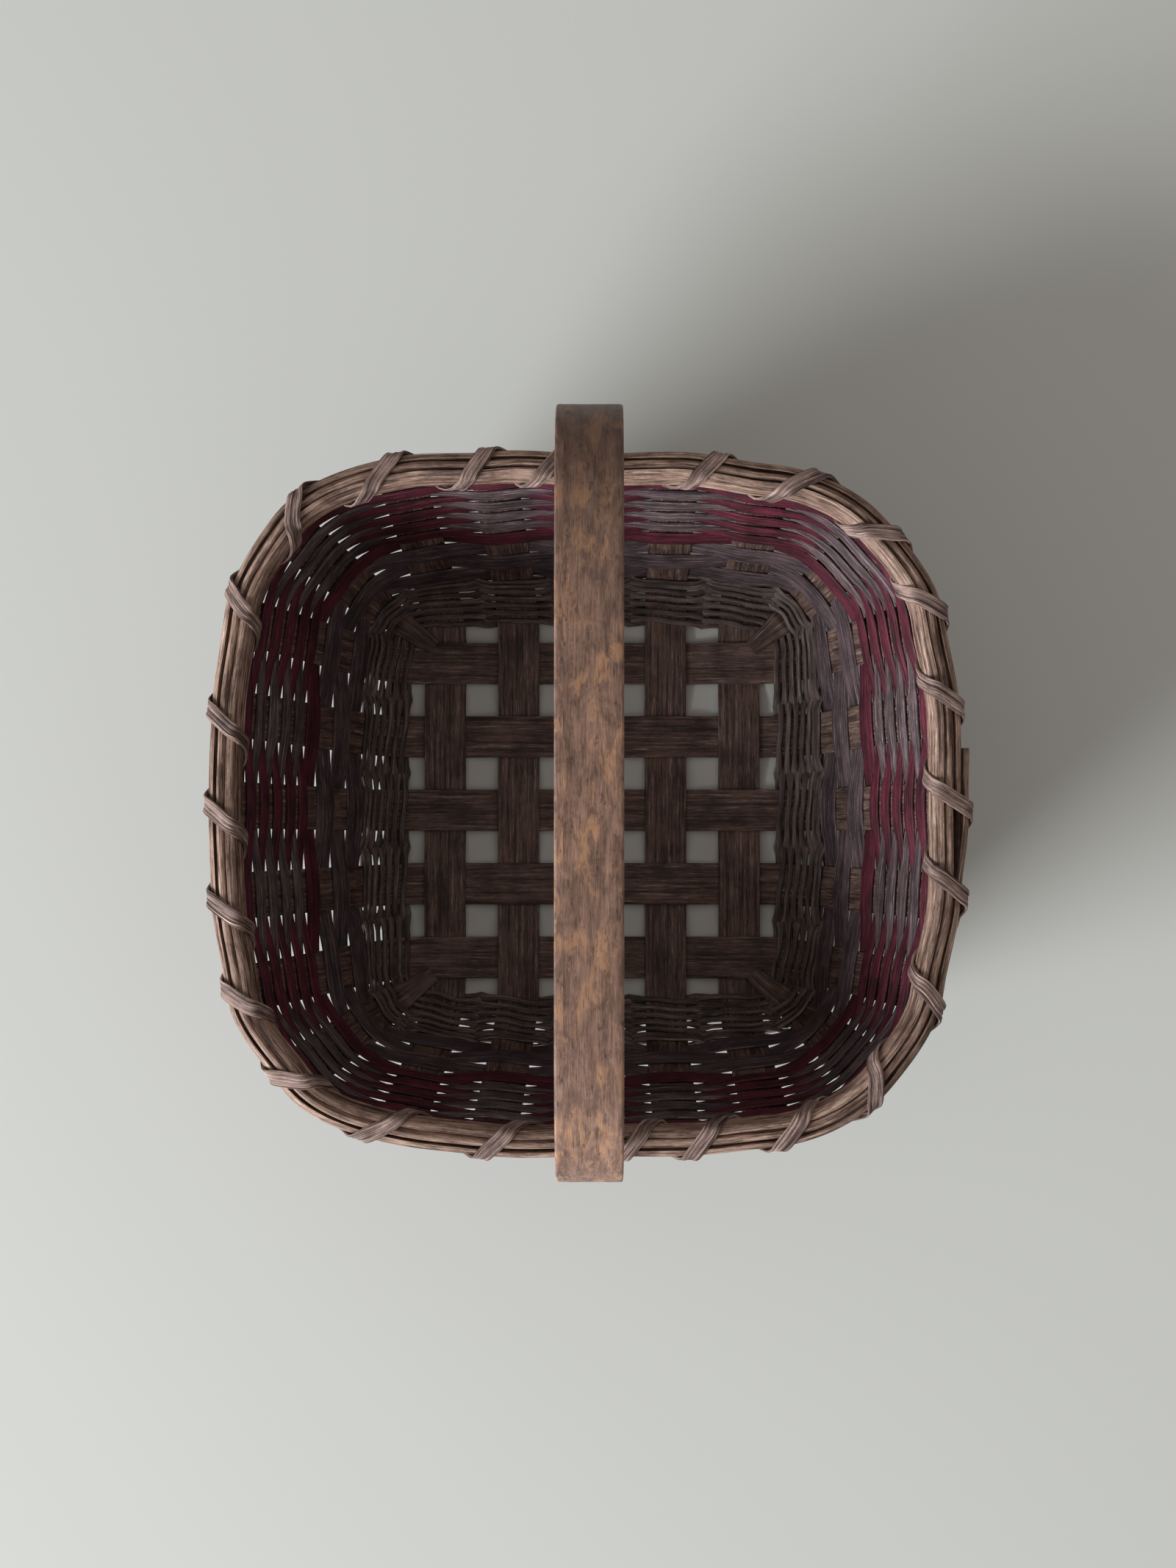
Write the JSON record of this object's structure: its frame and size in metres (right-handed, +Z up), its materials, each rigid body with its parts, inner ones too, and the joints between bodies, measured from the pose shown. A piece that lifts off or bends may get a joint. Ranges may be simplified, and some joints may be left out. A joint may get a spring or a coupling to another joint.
{
  "type": "market basket",
  "caption": "Square-based woven reed basket with twined foot, coloured band, lashed rim and a fixed bent-wood handle over the middle.",
  "frame": {"origin": "centre of the base on the plane it rests on", "axes": "+Z up, +Y along the plane of the handle's hoop, +X across it"},
  "size_m": [0.258, 0.2395, 0.2721],
  "materials": {
    "stake_reed": "stained dark walnut, open grain",
    "foot_reed": "stained grey-brown round reed",
    "natural_reed": "weathered grey-brown flat reed",
    "red_reed": "dyed dark red flat reed",
    "rim_reed": "pinkish tan half-round reed",
    "lashing_reed": "stained flat oval reed",
    "handle_wood": "satin walnut stain, mottled"
  },
  "bodies": {
    "root": {"wide_weaver_low": "natural_reed", "wide_weaver_middle": "natural_reed", "wide_weaver_high": "natural_reed", "rim_row_weaver": "natural_reed", "narrow_natural_weaver_1": "natural_reed", "narrow_natural_weaver_2": "natural_reed", "narrow_natural_weaver_3": "natural_reed", "narrow_natural_weaver_4": "natural_reed", "wide_red_weaver": "red_reed", "red_weaver_under_rim": "red_reed", "narrow_red_weaver_1": "red_reed", "narrow_red_weaver_2": "red_reed", "narrow_red_weaver_3": "red_reed", "narrow_red_weaver_4": "red_reed", "narrow_red_weaver_5": "red_reed", "twining_strand_a": "foot_reed", "twining_strand_b": "foot_reed", "stake_across_1": "stake_reed", "stake_across_2": "stake_reed", "stake_across_3": "stake_reed", "stake_across_4": "stake_reed", "stake_across_5": "stake_reed", "stake_along_1": "stake_reed", "stake_along_2": "stake_reed", "stake_along_4": "stake_reed", "stake_along_5": "stake_reed", "corner_stake_right_back": "stake_reed", "corner_stake_left_back": "stake_reed", "corner_stake_left_front": "stake_reed", "corner_stake_right_front": "stake_reed", "rim_inner": "rim_reed", "rim_outer": "rim_reed", "rim_filler_left": "rim_reed", "rim_filler_right": "rim_reed", "rim_lashing": "lashing_reed", "handle": "handle_wood"}
  },
  "joints": []
}
